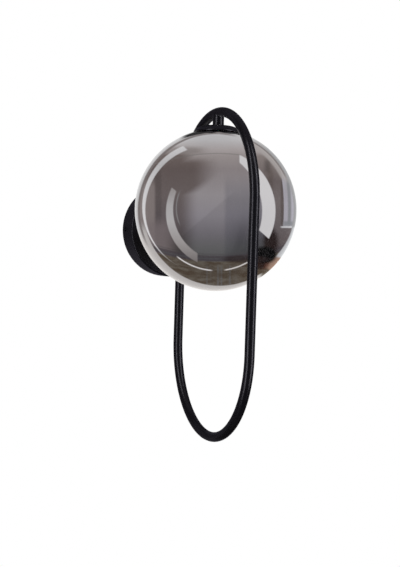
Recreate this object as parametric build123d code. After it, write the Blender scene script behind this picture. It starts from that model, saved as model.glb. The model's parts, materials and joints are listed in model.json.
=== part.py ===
from build123d import *
from math import acos, cos, degrees, pi, radians, sin, sqrt
import os

# Globe wall sconce. A stadium-shaped ring of round steel tube stands edge-on to the wall, carried by a
# short boss on a round canopy. A stem under the ring's top arc holds a shallow cap, and a glass globe
# screws onto the collar inside that cap. Two insulated wires run through the tube to the lampholder.
#
# Millimetres. +Z is up, the wall is the plane y = 0 and the front faces -Y. The origin is the centre of
# the canopy on the wall. The ring lies in the plane x = 0.

# --- glass globe
globe_diameter = 200.0
globe_wall = 2.5
neck_bore = 36.0            # opening that the lamp passes through
neck_height = 1.7           # straight outside of the neck, above the sphere
neck_shoulder = 1.2         # fillet between neck and sphere
rim_round = 0.6

# --- ring of tube
tube_diameter = 12.0
tube_wall = 1.0
ring_gap = 5.5              # globe to tube, front and back
ring_straight = 179.0       # straight run between the two arcs
ring_top = 146.0            # top of the ring's centreline, above the canopy's centre

# --- boss and stem, brazed to the tube
boss_diameter = 14.0
boss_length = 15.0          # canopy to tube
stem_diameter = 14.0
stem_length = 10.5          # cap to tube
saddle_depth = 3.0          # how far boss and stem reach round the tube
braze_gap = 0.05
wire_hole = 8.0             # hole in the tube wall, and bore of boss and stem

# --- canopy and its bracket
canopy_diameter = 125.0
canopy_depth = 36.0
canopy_wall = 1.2
canopy_edge = 2.0           # outside radius of the front edge
side_screw_setback = 9.5    # side screws, from the wall
bracket_width = 24.0
bracket_thickness = 1.5
bracket_bend = 1.0          # inside radius where an end turns forward
tab_width = 12.0
tab_height = 16.0
tab_clearance = 0.3         # tab's corners to the canopy's inside
shoulder_inset = 8.0        # the strip narrows to the tab this far from its end
slot_spacing = 80.0
slot_length = 14.0
slot_width = 4.5
cable_hole = 12.0

# --- hollow threaded nipples, nuts and washers
nipple_diameter = 10.0
nipple_wall = 1.0
nipple_grip = 9.0           # thread held in boss or stem
nipple_proud = 1.4          # thread that stands out of the nut
nut_across_flats = 14.0
nut_height = 3.0
washer_diameter = 16.0
washer_thickness = 0.8
bush_flange = 0.8
bush_wall = 0.8
bush_length = 5.0

# --- cap, collar and gasket
cap_diameter = 60.0
cap_wall = 1.0
cap_flat = 24.0             # flat middle of the dome
cap_skirt = 1.2             # upright edge
cap_gap = 0.8               # cap's edge to the glass
collar_hub_diameter = 22.0
collar_hub_rise = 2.1
collar_flange = 1.0
skirt_wall = 1.2
skirt_clearance = 0.3       # collar's thread to the glass, on the radius
gasket_thickness = 0.8
thread_pitch = 3.0
thread_turns = 2.0

# --- lampholder and its stirrup
stirrup_thickness = 1.2
stirrup_width = 14.0
stirrup_reach = 28.0        # outside, leg to leg
stirrup_height = 22.4
stirrup_gap = 13.0          # between the two feet
stirrup_bend = 0.6
holder_length = 27.0        # ceramic flange
holder_width = 18.0
holder_flange = 4.0
holder_depth = 16.0         # ceramic body under the flange
holder_body = 14.0          # body, along the flange
holder_corner = 3.0
holder_screw_spacing = 21.0
socket_width = 15.0         # recess for the lamp's spigot
socket_thickness = 6.4
socket_depth = 5.0
contact_spacing = 9.0
contact_width = 3.6
contact_height = 8.4
contact_leaf = 0.4
contact_play = 0.05         # pin to each leaf
pocket_clearance = 0.4      # contact to ceramic

# --- lamp
lamp_diameter = 16.0
lamp_length = 32.0
lamp_wall = 0.8
lamp_base_height = 7.7
lamp_base_diameter = 15.6
lamp_seat_gap = 0.3         # lamp's shoulder to the holder
spigot_clearance = 0.3
spigot_height = 4.7
pin_width = 2.8             # each pin is a flat loop of wire
pin_wire = 0.8
pin_length = 10.0           # above the spigot
pin_root = 3.0              # sunk in the spigot
pin_end_gap = 0.3
core_diameter = 9.0
core_length = 24.0

# --- terminal block
pole_pitch = 9.0
pole_height = 5.5           # sleeve axis above the bracket
block_lead = 1.0            # straight wire between the block and its first bend
block_length = 18.0
block_height = 12.0
hump_width = 7.0
hump_round = 2.5
web_height = 8.5
pole_sleeve_diameter = 4.6
pole_sleeve_bore = 3.2
pole_sleeve_length = 16.0
clamp_diameter = 2.6
clamp_spacing = 9.0
clamp_length = 4.6
clamp_well_diameter = 3.8
block_screw_diameter = 2.5
block_screw_head = 4.6

# --- earth connection
earth_offset = 12.0         # earth screw, from the centre line
earth_screw_diameter = 4.0
earth_screw_head = 7.0
earth_washer_diameter = 8.0
bracket_lug_diameter = 8.0
nipple_lug_diameter = 16.0
lug_thickness = 0.8
barrel_wall = 0.85
barrel_length = 5.0
barrel_lead = 2.0           # straight lead outside a barrel

# --- wires and small screws
wire_diameter = 2.0
wire_gap = 0.2              # between the two wires inside the tube
wire_bend = 10.0
wire_entry = 6.0            # end inside a terminal
wire_drop = 1.0             # straight run under the stem's nipple
hole_clearance = 0.2        # loose hole round a screw or nipple, on the radius
thread_clearance = 0.05     # cut thread or press seat, on the radius
side_screw_diameter = 4.0
side_screw_head = 6.4
side_screw_length = 8.5
head_height = 1.6
head_round = 0.9
holder_screw_diameter = 3.0
holder_screw_head = 5.4
screw_reach = 1.0           # holder screws, past the stirrup
screw_setback = 0.1         # bracket screws stop this short of the wall

# --- worked out from the sizes above
globe_radius = globe_diameter / 2
tube_radius = tube_diameter / 2
canopy_radius = canopy_diameter / 2
wire_radius = wire_diameter / 2
nipple_radius = nipple_diameter / 2
nipple_bore = nipple_radius - nipple_wall
hole_radius = wire_hole / 2

arc_radius = globe_radius + ring_gap + tube_radius
back_y = -(canopy_depth + boss_length + tube_radius)
globe_y = back_y - arc_radius
front_y = globe_y - arc_radius
top_arc_z = ring_top - arc_radius
bottom_arc_z = top_arc_z - ring_straight

cap_top = ring_top - tube_radius - stem_length
hub_top = cap_top - cap_wall
flange_top = hub_top - collar_hub_rise
flange_bottom = flange_top - collar_flange
rim_z = flange_bottom - gasket_thickness
neck_inner = neck_bore / 2
neck_outer = neck_inner + globe_wall
neck_root = sqrt(globe_radius**2 - neck_outer**2)
globe_z = rim_z - neck_height - neck_root
skirt_outer = neck_inner - skirt_clearance
skirt_inner = skirt_outer - skirt_wall
skirt_bottom = rim_z - thread_pitch * thread_turns
cap_radius = cap_diameter / 2
cap_rim_z = globe_z + sqrt(globe_radius**2 - cap_radius**2) + cap_gap

holder_top = flange_bottom - stirrup_height
holder_shoulder = holder_top - holder_flange
holder_bottom = holder_shoulder - holder_depth
socket_roof = holder_bottom + socket_depth
stem_washer_top = flange_bottom - stirrup_thickness
stem_nut_top = stem_washer_top - washer_thickness
stem_nipple_bottom = stem_nut_top - nut_height - nipple_proud
base_top = holder_bottom - lamp_seat_gap
base_bottom = base_top - lamp_base_height
spigot_top = base_top + spigot_height
pin_tip = spigot_top + pin_length
contact_top = pin_tip + pin_end_gap + contact_leaf
contact_x = contact_spacing / 2

canopy_face_y = -(canopy_depth - canopy_wall)
canopy_washer_y = canopy_face_y + lug_thickness
canopy_nut_y = canopy_washer_y + washer_thickness
canopy_nipple_y = canopy_nut_y + nut_height + nipple_proud
tab_x = sqrt((canopy_radius - canopy_wall - tab_clearance) ** 2 - (tab_width / 2) ** 2)

wire_x = (wire_diameter + wire_gap) / 2
block_x = wire_x + wire_bend + block_lead
block_middle = block_x + block_length / 2
pole_y = -(bracket_thickness + pole_height)
pole_z = {"live": pole_pitch / 2, "neutral": -pole_pitch / 2}
barrel_bore = wire_radius + thread_clearance
barrel_height = thread_clearance + barrel_bore + barrel_wall
earth_washer_y = -(bracket_thickness + lug_thickness)


# --- helpers
def bar(radius, start, end):
    """Round bar between two points."""
    axis = Vector(*end) - Vector(*start)
    return extrude(Plane(origin=start, z_dir=axis) * Circle(radius), axis.length)


def pipe(outer, inner, start, end):
    """Round pipe between two points."""
    return bar(outer, start, end) - bar(inner, start, end)


def block(x, y, z):
    """Box between the two values given for each axis."""
    size = [abs(high - low) for low, high in (x, y, z)]
    middle = [(low + high) / 2 for low, high in (x, y, z)]
    return Pos(*middle) * Box(*size)


def on_axis(z):
    """Point on the globe's upright axis."""
    return (0, globe_y, z)


def turned(outline):
    """Body turned about the globe's upright axis, from an outline in (radius, height)."""
    return Pos(0, globe_y, 0) * revolve(Plane.XZ * make_face(outline), Axis.Z)


def turned_polygon(*points):
    """Turned body whose outline is straight from point to point."""
    return turned(Polyline(*points, close=True))


def hex_nut(seat):
    """Lock nut of a nipple: it rests on the seat plane and grows along the plane's normal."""
    outline = RegularPolygon(nut_across_flats / 2, 6, major_radius=False)
    return extrude(seat * (outline - Circle(nipple_radius + thread_clearance)), nut_height)


def washer(seat, diameter, hole):
    """Flat ring on the seat plane."""
    return extrude(seat * (Circle(diameter / 2) - Circle(hole)), washer_thickness)


def pan_screw(head, diameter, length, seat):
    """Pan-head screw: its head rests on the seat plane and its shank runs along the plane's normal."""
    crown = extrude(seat * Circle(head / 2), -head_height)
    outer_face = crown.faces().sort_by(Axis(seat.origin, seat.z_dir))[0]
    return fillet(outer_face.edges(), head_round) + extrude(seat * Circle(diameter / 2), length)


def ring_lug(seat, diameter, hole):
    """Cable lug on the seat plane: a ring, and a crimped barrel along the plane's x direction."""
    ring = extrude(Circle(diameter / 2), lug_thickness)
    barrel_start = diameter / 2 + barrel_wall
    barrel_end = barrel_start + barrel_length
    tongue = block((0, barrel_end), (-barrel_bore, barrel_bore), (0, lug_thickness))
    barrel = pipe(barrel_bore + barrel_wall, barrel_bore, (barrel_start, 0, barrel_height),
                  (barrel_end, 0, barrel_height))
    eye = bar(hole, (0, 0, -lug_thickness), (0, 0, 2 * lug_thickness))
    return seat.location * (ring + tongue + barrel - eye)


class Route:
    """Centre line of a wire: straight runs and tangent arcs, laid end to end."""

    def __init__(self, start, heading):
        self.start, self.first = Vector(*start), Vector(*heading)
        self.point, self.heading, self.edges = self.start, self.first, []

    def run(self, length):
        """Straight on."""
        end = self.point + self.heading * length
        self.edges.append(Edge.make_line(self.point, end))
        self.point = end

    def run_level_with(self, x, y, z):
        """Straight on, until level with a point."""
        self.run((Vector(x, y, z) - self.point).dot(self.heading))

    def turn(self, side, radius, angle):
        """Arc that turns the heading by an angle, towards a direction square to it."""
        ahead, turned_by = self.heading, radians(angle)
        centre = self.point + side * radius
        half, full = (centre + (ahead * sin(a) - side * cos(a)) * radius for a in (turned_by / 2, turned_by))
        self.edges.append(Edge.make_three_point_arc(self.point, half, full))
        self.point = full
        self.heading = ahead * cos(turned_by) + side * sin(turned_by)
        return side * cos(turned_by) - ahead * sin(turned_by)

    def jog(self, side, shift, radius):
        """Two equal arcs that move the route sideways and keep its heading."""
        angle = degrees(acos(1 - shift / (2 * radius)))
        self.turn(-self.turn(side, radius, angle), radius, angle)

    def swept(self):
        """The wire itself, and a line that compares its volume with its length."""
        path = Wire(self.edges)
        wire = sweep(Plane(origin=self.start, z_dir=self.first) * Circle(wire_radius), path=path)
        straight = pi * wire_radius**2 * path.length
        print(f"wire {path.length:.1f} mm, volume over section times length {wire.volume / straight:.4f}")
        return wire


# --- ring, boss and stem
def top_arc(radius):
    """Half ring over the globe, of solid round section."""
    section = Pos(0, back_y, top_arc_z) * Circle(radius)
    return revolve(section, Axis((0, globe_y, top_arc_z), (1, 0, 0)), 180)


def bottom_arc(radius):
    """Half ring under the globe."""
    section = Pos(0, front_y, bottom_arc_z) * Circle(radius)
    return revolve(section, Axis((0, globe_y, bottom_arc_z), (1, 0, 0)), 180)


def stadium(radius):
    """Solid round section along the whole ring."""
    sides = [bar(radius, (0, y, bottom_arc_z), (0, y, top_arc_z)) for y in (back_y, front_y)]
    return top_arc(radius) + sides[0] + bottom_arc(radius) + sides[1]


def ring_tube():
    """Bent and butt-welded tube, with a hole for the wires behind the boss and over the stem."""
    tube = stadium(tube_radius) - stadium(tube_radius - tube_wall)
    boss_opening = bar(hole_radius, (0, back_y, 0), (0, back_y + tube_diameter, 0))
    stem_opening = bar(hole_radius, on_axis(ring_top), on_axis(ring_top - tube_diameter))
    return tube - boss_opening - stem_opening


def ring_boss():
    """Collar between canopy and ring, tapped for the nipple and saddle-cut to the tube."""
    mouth_y = -canopy_depth
    end_y = mouth_y - boss_length - saddle_depth
    collar = bar(boss_diameter / 2, (0, mouth_y, 0), (0, end_y, 0))
    collar -= bar(tube_radius + braze_gap, (0, back_y, -boss_diameter), (0, back_y, boss_diameter))
    collar -= bar(hole_radius, (0, mouth_y, 0), (0, end_y, 0))
    return collar - bar(nipple_radius + thread_clearance, (0, mouth_y, 0), (0, mouth_y - nipple_grip, 0))


def globe_stem():
    """Short post under the top arc, tapped from below and saddle-cut to the bent tube."""
    post_top = cap_top + stem_length + saddle_depth
    post = bar(stem_diameter / 2, on_axis(cap_top), on_axis(post_top))
    post -= top_arc(tube_radius + braze_gap)
    post -= bar(hole_radius, on_axis(cap_top), on_axis(post_top))
    return post - bar(nipple_radius + thread_clearance, on_axis(cap_top), on_axis(cap_top + nipple_grip))


# --- canopy, bracket and what fastens them
def canopy():
    """Spun steel cup, open to the wall, with side holes and a hole for the nipple."""
    inside = canopy_radius - canopy_wall
    hole = nipple_radius + hole_clearance
    outline = Polyline((hole, -canopy_depth), (canopy_radius, -canopy_depth), (canopy_radius, 0),
                       (inside, 0), (inside, canopy_face_y), (hole, canopy_face_y), close=True)
    section = make_face(outline)
    corners = section.vertices()
    section = fillet(corners.sort_by_distance((canopy_radius, -canopy_depth, 0))[0], canopy_edge)
    corners = section.vertices()
    section = fillet(corners.sort_by_distance((inside, canopy_face_y, 0))[0], canopy_edge - canopy_wall)
    cup = revolve(section, Axis.Y)
    reach = canopy_diameter
    return cup - bar(side_screw_diameter / 2 + hole_clearance, (-reach, -side_screw_setback, 0),
                     (reach, -side_screw_setback, 0))


def wall_bracket():
    """Steel strip on the wall, its ends bent forward as tapped tabs for the side screws."""
    inside_x, front = tab_x - bracket_thickness, -bracket_thickness
    outline = Polyline((-tab_x, -tab_height), (-tab_x, 0), (tab_x, 0), (tab_x, -tab_height),
                       (inside_x, -tab_height), (inside_x, front), (-inside_x, front),
                       (-inside_x, -tab_height), close=True)
    section = make_face(outline)
    for x, y, radius in ((tab_x, 0, bracket_bend + bracket_thickness), (inside_x, front, bracket_bend)):
        for side in (-1, 1):
            section = fillet(section.vertices().sort_by_distance((side * x, y, 0))[0], radius)
    tabs = extrude(section, tab_width / 2, both=True)
    strip_x = tab_x - shoulder_inset
    strip = block((-strip_x, strip_x), (front, 0), (-bracket_width / 2, bracket_width / 2))
    bracket = tabs + strip
    for side in (-1, 1):
        slot = Plane.XZ * Pos(side * slot_spacing / 2, 0) * SlotOverall(slot_length, slot_width)
        bracket -= extrude(slot, bracket_thickness, both=True)
    bracket -= bar(cable_hole / 2, (0, front, 0), (0, 0, 0))
    bracket -= bar(earth_screw_diameter / 2 + thread_clearance, (-earth_offset, front, 0), (-earth_offset, 0, 0))
    bracket -= bar(block_screw_diameter / 2 + thread_clearance, (block_middle, front, 0), (block_middle, 0, 0))
    return bracket - bar(side_screw_diameter / 2 + thread_clearance, (-canopy_radius, -side_screw_setback, 0),
                         (canopy_radius, -side_screw_setback, 0))


def canopy_screws():
    """The two screws that hold the canopy to the bracket's tabs."""
    seats = [Plane(origin=(side * canopy_radius, -side_screw_setback, 0), z_dir=(-side, 0, 0))
             for side in (-1, 1)]
    return Compound([pan_screw(side_screw_head, side_screw_diameter, side_screw_length, seat).solid()
                     for seat in seats])


def canopy_nipple():
    """Hollow threaded nipple that draws the boss against the canopy."""
    return pipe(nipple_radius, nipple_bore, (0, canopy_nipple_y, 0), (0, -canopy_depth - nipple_grip, 0))


def canopy_nut():
    return hex_nut(Plane(origin=(0, canopy_nut_y, 0), z_dir=(0, 1, 0)))


def canopy_washer():
    return washer(Plane(origin=(0, canopy_washer_y, 0), z_dir=(0, 1, 0)), washer_diameter,
                  nipple_radius + hole_clearance)


def cable_bush():
    """Plastic bush that guards the wires at the nipple's mouth."""
    outer = nipple_bore - thread_clearance
    bore = outer - bush_wall
    flange = pipe(nipple_radius, bore, (0, canopy_nipple_y + bush_flange, 0), (0, canopy_nipple_y, 0))
    return flange + pipe(outer, bore, (0, canopy_nipple_y, 0), (0, canopy_nipple_y - bush_length, 0))


# --- terminal block
def pole_axis(x, name):
    """Point on a pole's axis."""
    return (x, pole_y, pole_z[name])


def clamp_places():
    """Axis of each clamp screw, as (x, z)."""
    return [(block_middle + side * clamp_spacing / 2, z) for z in pole_z.values() for side in (-1, 1)]


def terminal_block():
    """Two-pole plastic block: a rounded hump over each pole, joined by a lower web."""
    x = (block_x, block_x + block_length)
    back, front = -bracket_thickness, -(bracket_thickness + block_height)
    body = block(x, (back, back - web_height), (-pole_pitch / 2, pole_pitch / 2))
    for z in pole_z.values():
        hump = block(x, (back, front), (z - hump_width / 2, z + hump_width / 2))
        body += fillet(hump.edges().filter_by(Axis.X).group_by(Axis.Y)[0], hump_round)
    for name in pole_z:
        half = pole_sleeve_length / 2
        body -= bar(pole_sleeve_diameter / 2 + thread_clearance, pole_axis(block_middle - half, name),
                    pole_axis(block_middle + half, name))
        body -= bar(pole_sleeve_bore / 2, pole_axis(x[0], name), pole_axis(x[1], name))
    for clamp_x, z in clamp_places():
        body -= bar(clamp_well_diameter / 2, (clamp_x, pole_y, z), (clamp_x, front, z))
    head_room = block_screw_head / 2 + hole_clearance
    body -= bar(head_room, (block_middle, back - web_height, 0), (block_middle, front, 0))
    return body - bar(block_screw_diameter / 2 + hole_clearance, (block_middle, back, 0),
                      (block_middle, front, 0))


def terminal_sleeves():
    """Brass sleeve of each pole, tapped for its two clamp screws."""
    sleeves = []
    half = pole_sleeve_length / 2
    for name in pole_z:
        sleeves.append(pipe(pole_sleeve_diameter / 2, pole_sleeve_bore / 2,
                            pole_axis(block_middle - half, name), pole_axis(block_middle + half, name)))
    for clamp_x, z in clamp_places():
        hole = bar(clamp_diameter / 2 + thread_clearance, (clamp_x, pole_y, z),
                   (clamp_x, pole_y - pole_sleeve_diameter, z))
        sleeves = [sleeve - hole for sleeve in sleeves]
    return Compound([sleeve.solid() for sleeve in sleeves])


def clamp_screws():
    """Grub screws that press on the wires."""
    tip = pole_y - wire_radius - thread_clearance
    return Compound([bar(clamp_diameter / 2, (x, tip, z), (x, tip - clamp_length, z)).solid()
                     for x, z in clamp_places()])


def block_screw():
    """Screw through the block's web into the bracket."""
    web_y = -(bracket_thickness + web_height)
    seat = Plane(origin=(block_middle, web_y, 0), z_dir=(0, 1, 0))
    return pan_screw(block_screw_head, block_screw_diameter, -web_y - screw_setback, seat)


# --- earth connection, from the bracket to the nipple
def bracket_lug():
    seat = Plane(origin=(-earth_offset, -bracket_thickness, 0), x_dir=(-1, 0, 0), z_dir=(0, -1, 0))
    return ring_lug(seat, bracket_lug_diameter, earth_screw_diameter / 2 + hole_clearance)


def nipple_lug():
    seat = Plane(origin=(0, canopy_face_y, 0), x_dir=(-1, 0, 0), z_dir=(0, 1, 0))
    return ring_lug(seat, nipple_lug_diameter, nipple_radius + hole_clearance)


def earth_washer():
    seat = Plane(origin=(-earth_offset, earth_washer_y, 0), z_dir=(0, -1, 0))
    return washer(seat, earth_washer_diameter, earth_screw_diameter / 2 + hole_clearance)


def earth_screw():
    head_y = earth_washer_y - washer_thickness
    seat = Plane(origin=(-earth_offset, head_y, 0), z_dir=(0, 1, 0))
    return pan_screw(earth_screw_head, earth_screw_diameter, -head_y - screw_setback, seat)


def earth_lead():
    """Green and yellow lead that loops from one lug's barrel to the other's."""
    low_y = -bracket_thickness - barrel_height
    high_y = canopy_face_y + barrel_height
    start_x = -earth_offset - bracket_lug_diameter / 2 - 2 * barrel_wall
    end_x = -nipple_lug_diameter / 2 - 2 * barrel_wall
    route = Route((start_x, low_y, 0), (-1, 0, 0))
    route.run(barrel_length + barrel_lead)
    route.turn(Vector(0, -1, 0), wire_bend, 90)
    route.run_level_with(0, high_y + wire_bend, 0)
    route.turn(Vector(1, 0, 0), wire_bend, 90)
    route.run_level_with(end_x, high_y, 0)
    return route.swept()


# --- the two insulated wires
def lamp_wire(name, side):
    """Terminal block, nipple, up inside the ring, over its top arc, down the stem to a contact."""
    x = side * wire_x
    route = Route(pole_axis(block_x + wire_entry, name), (-1, 0, 0))
    route.run_level_with(x + wire_bend, 0, 0)
    route.turn(Vector(0, -1, 0), wire_bend, 90)
    route.jog(Vector(0, 0, -pole_z[name]).normalized(), abs(pole_z[name]), wire_bend)
    route.run_level_with(0, back_y + wire_bend, 0)
    route.turn(Vector(0, 0, 1), wire_bend, 90)
    route.run_level_with(0, 0, top_arc_z)
    over = degrees(acos(wire_bend / (arc_radius - wire_bend)))
    inward = route.turn(Vector(0, -1, 0), arc_radius, over)
    route.turn(inward, wire_bend, 180 - over)
    route.run_level_with(0, 0, stem_nipple_bottom - wire_drop)
    route.jog(Vector(side, 0, 0), contact_x - wire_x, wire_bend)
    route.run_level_with(0, 0, contact_top)
    return route.swept()


# --- cap, collar and what hangs under them
def globe_cap():
    """Spun dome with a flat middle and a short upright edge, just clear of the glass."""
    hole = nipple_radius + hole_clearance
    flat, inside = cap_flat / 2, cap_radius - cap_wall
    edge_top = cap_rim_z + cap_skirt
    drop = cap_top - edge_top
    dome = ((cap_radius - flat) ** 2 + drop**2) / (2 * drop)
    centre_z = cap_top - dome

    def on_dome(radius, r):
        return (r, centre_z + sqrt(radius**2 - (r - flat) ** 2))

    inner = dome - cap_wall
    middle_r = (flat + cap_radius) / 2
    outline = [Line((hole, cap_top), (flat, cap_top)),
               ThreePointArc((flat, cap_top), on_dome(dome, middle_r), (cap_radius, edge_top)),
               Polyline((cap_radius, edge_top), (cap_radius, cap_rim_z), (inside, cap_rim_z),
                        on_dome(inner, inside)),
               ThreePointArc(on_dome(inner, inside), on_dome(inner, middle_r), (flat, hub_top)),
               Polyline((flat, hub_top), (hole, hub_top), (hole, cap_top))]
    return turned(outline)


def neck_collar():
    """Collar under the cap: hub, flange over the gasket, and the skirt that the glass screws onto."""
    hole, hub = nipple_radius + hole_clearance, collar_hub_diameter / 2
    return turned_polygon((hole, hub_top), (hub, hub_top), (hub, flange_top), (neck_outer, flange_top),
                          (neck_outer, flange_bottom), (skirt_outer, flange_bottom),
                          (skirt_outer, skirt_bottom), (skirt_inner, skirt_bottom),
                          (skirt_inner, flange_bottom), (hole, flange_bottom))


def neck_gasket():
    return turned_polygon((neck_inner, flange_bottom), (neck_outer, flange_bottom), (neck_outer, rim_z),
                          (neck_inner, rim_z))


def glass_globe():
    """Blown globe with a short neck. Its thread is left plain."""
    inner_radius = globe_radius - globe_wall
    inner_root = sqrt(inner_radius**2 - neck_inner**2)
    bottom, inner_bottom = globe_z - globe_radius, globe_z - inner_radius
    outline = [ThreePointArc((0, bottom), (globe_radius, globe_z), (neck_outer, globe_z + neck_root)),
               Polyline((neck_outer, globe_z + neck_root), (neck_outer, rim_z), (neck_inner, rim_z),
                        (neck_inner, globe_z + inner_root)),
               ThreePointArc((neck_inner, globe_z + inner_root), (inner_radius, globe_z), (0, inner_bottom)),
               Line((0, inner_bottom), (0, bottom))]
    section = make_face(outline)
    places = (((neck_outer, globe_z + neck_root), neck_shoulder), ((neck_outer, rim_z), rim_round),
              ((neck_inner, rim_z), rim_round))
    for place, radius in places:
        section = fillet(section.vertices().sort_by_distance((*place, 0))[0], radius)
    return Pos(0, globe_y, 0) * revolve(Plane.XZ * section, Axis.Z)


def stem_nipple():
    """Hollow threaded nipple that clamps cap, collar and stirrup to the stem."""
    return pipe(nipple_radius, nipple_bore, on_axis(stem_nipple_bottom), on_axis(cap_top + nipple_grip))


def stem_washer():
    return washer(Plane(origin=on_axis(stem_washer_top), z_dir=(0, 0, -1)), washer_diameter,
                  nipple_radius + hole_clearance)


def stem_nut():
    return hex_nut(Plane(origin=on_axis(stem_nut_top), z_dir=(0, 0, -1)))


def holder_screw_places(z):
    """Points on the axes of the two holder screws."""
    return [(0, globe_y + side * holder_screw_spacing / 2, z) for side in (-1, 1)]


def stirrup():
    """Bent strip that hangs from the nipple and carries the lampholder on its two feet."""
    half, wall = stirrup_reach / 2, stirrup_thickness
    top, bottom = flange_bottom, holder_top
    foot = stirrup_gap / 2
    outline = Polyline((-half, bottom), (-half, top), (half, top), (half, bottom), (foot, bottom),
                       (foot, bottom + wall), (half - wall, bottom + wall), (half - wall, top - wall),
                       (wall - half, top - wall), (wall - half, bottom + wall), (-foot, bottom + wall),
                       (-foot, bottom), close=True)
    section = make_face(outline)
    bends = ((half, top, stirrup_bend + wall), (half, bottom, stirrup_bend + wall),
             (half - wall, top - wall, stirrup_bend), (half - wall, bottom + wall, stirrup_bend))
    for x, z, radius in bends:
        for side in (-1, 1):
            section = fillet(section.vertices().sort_by_distance((side * x, z, 0))[0], radius)
    strip = extrude(Plane(origin=(0, globe_y, 0), x_dir=(0, 1, 0), z_dir=(1, 0, 0)) * section,
                    stirrup_width / 2, both=True)
    strip -= bar(nipple_radius + hole_clearance, on_axis(top - wall), on_axis(top))
    for x, y, z in holder_screw_places(bottom):
        strip -= bar(holder_screw_diameter / 2 + thread_clearance, (x, y, z), (x, y, z + wall))
    return strip


# --- lampholder
def contact_axes():
    """Each contact's place across the holder."""
    return [side * contact_x for side in (-1, 1)]


def lampholder():
    """Ceramic holder: flange with two screw holes, body with a socket and a pocket for each contact."""
    flange = extrude(Pos(*on_axis(holder_shoulder)) * SlotOverall(holder_length, holder_width, rotation=90),
                     holder_flange)
    body = extrude(Pos(*on_axis(holder_bottom)) * RectangleRounded(holder_width, holder_body, holder_corner),
                   holder_depth)
    holder = flange + body
    y = (globe_y - socket_thickness / 2, globe_y + socket_thickness / 2)
    holder -= block((-socket_width / 2, socket_width / 2), y, (holder_bottom, socket_roof))
    half_width = contact_width / 2 + pocket_clearance
    half_depth = pin_wire / 2 + contact_play + contact_leaf + pocket_clearance
    for x in contact_axes():
        holder -= block((x - half_width, x + half_width), (globe_y - half_depth, globe_y + half_depth),
                        (socket_roof, contact_top))
        holder -= bar(wire_radius + hole_clearance, (x, globe_y, contact_top), (x, globe_y, holder_top))
    for x, hole_y, z in holder_screw_places(holder_shoulder):
        holder -= bar(holder_screw_diameter / 2 + hole_clearance, (x, hole_y, z), (x, hole_y, holder_top))
    return holder


def lampholder_contacts():
    """Spring clip of each pole: two leaves that grip a pin, joined over its tip."""
    inner, outer = pin_wire / 2 + contact_play, pin_wire / 2 + contact_play + contact_leaf
    clips = []
    for x in contact_axes():
        wide = (x - contact_width / 2, x + contact_width / 2)
        clip = block(wide, (globe_y - outer, globe_y + outer), (contact_top - contact_height, contact_top))
        gap = block(wide, (globe_y - inner, globe_y + inner),
                    (contact_top - contact_height, contact_top - contact_leaf))
        clips.append((clip - gap).solid())
    return Compound(clips)


def lampholder_screws():
    """The two screws that hold the ceramic to the stirrup's feet."""
    length = holder_flange + stirrup_thickness + screw_reach
    return Compound([pan_screw(holder_screw_head, holder_screw_diameter, length,
                               Plane(origin=place, z_dir=(0, 0, 1))).solid()
                     for place in holder_screw_places(holder_shoulder)])


# --- lamp
def lamp_base():
    """Plastic base: round body with a flat spigot that fills the holder's socket."""
    body = bar(lamp_base_diameter / 2, on_axis(base_bottom), on_axis(base_top))
    x = socket_width / 2 - spigot_clearance
    y = socket_thickness / 2 - spigot_clearance
    base = body + block((-x, x), (globe_y - y, globe_y + y), (base_top, spigot_top))
    for pin in pin_solids(0):
        base -= pin
    return base


def pin_solids(eye):
    """Both pins, as flat loops of wire with an eye of the given width."""
    length = pin_length + pin_root
    pins = []
    for x in contact_axes():
        flat = Plane(origin=(x, globe_y, pin_tip - length / 2), x_dir=(0, 0, 1), z_dir=(0, 1, 0))
        loop = SlotOverall(length, pin_width)
        if eye:
            loop -= SlotOverall(length - 2 * pin_wire, eye)
        pins.append(extrude(flat * loop, pin_wire / 2, both=True))
    return pins


def lamp_pins():
    return Compound([pin.solid() for pin in pin_solids(pin_width - 2 * pin_wire)])


def lamp_envelope():
    """Frosted tube with a round end, fixed to the base."""
    outer = lamp_diameter / 2
    inner = outer - lamp_wall
    bottom = base_bottom - lamp_length
    middle_z = bottom + outer
    slant = sqrt(0.5)
    outline = [ThreePointArc((0, bottom), (outer * slant, middle_z - outer * slant), (outer, middle_z)),
               Polyline((outer, middle_z), (outer, base_bottom), (inner, base_bottom), (inner, middle_z)),
               ThreePointArc((inner, middle_z), (inner * slant, middle_z - inner * slant),
                             (0, bottom + lamp_wall)),
               Line((0, bottom + lamp_wall), (0, bottom))]
    return turned(outline)


def led_core():
    """Round carrier of the light-emitting chips, inside the envelope."""
    return bar(core_diameter / 2, on_axis(base_bottom), on_axis(base_bottom - core_length))


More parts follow.
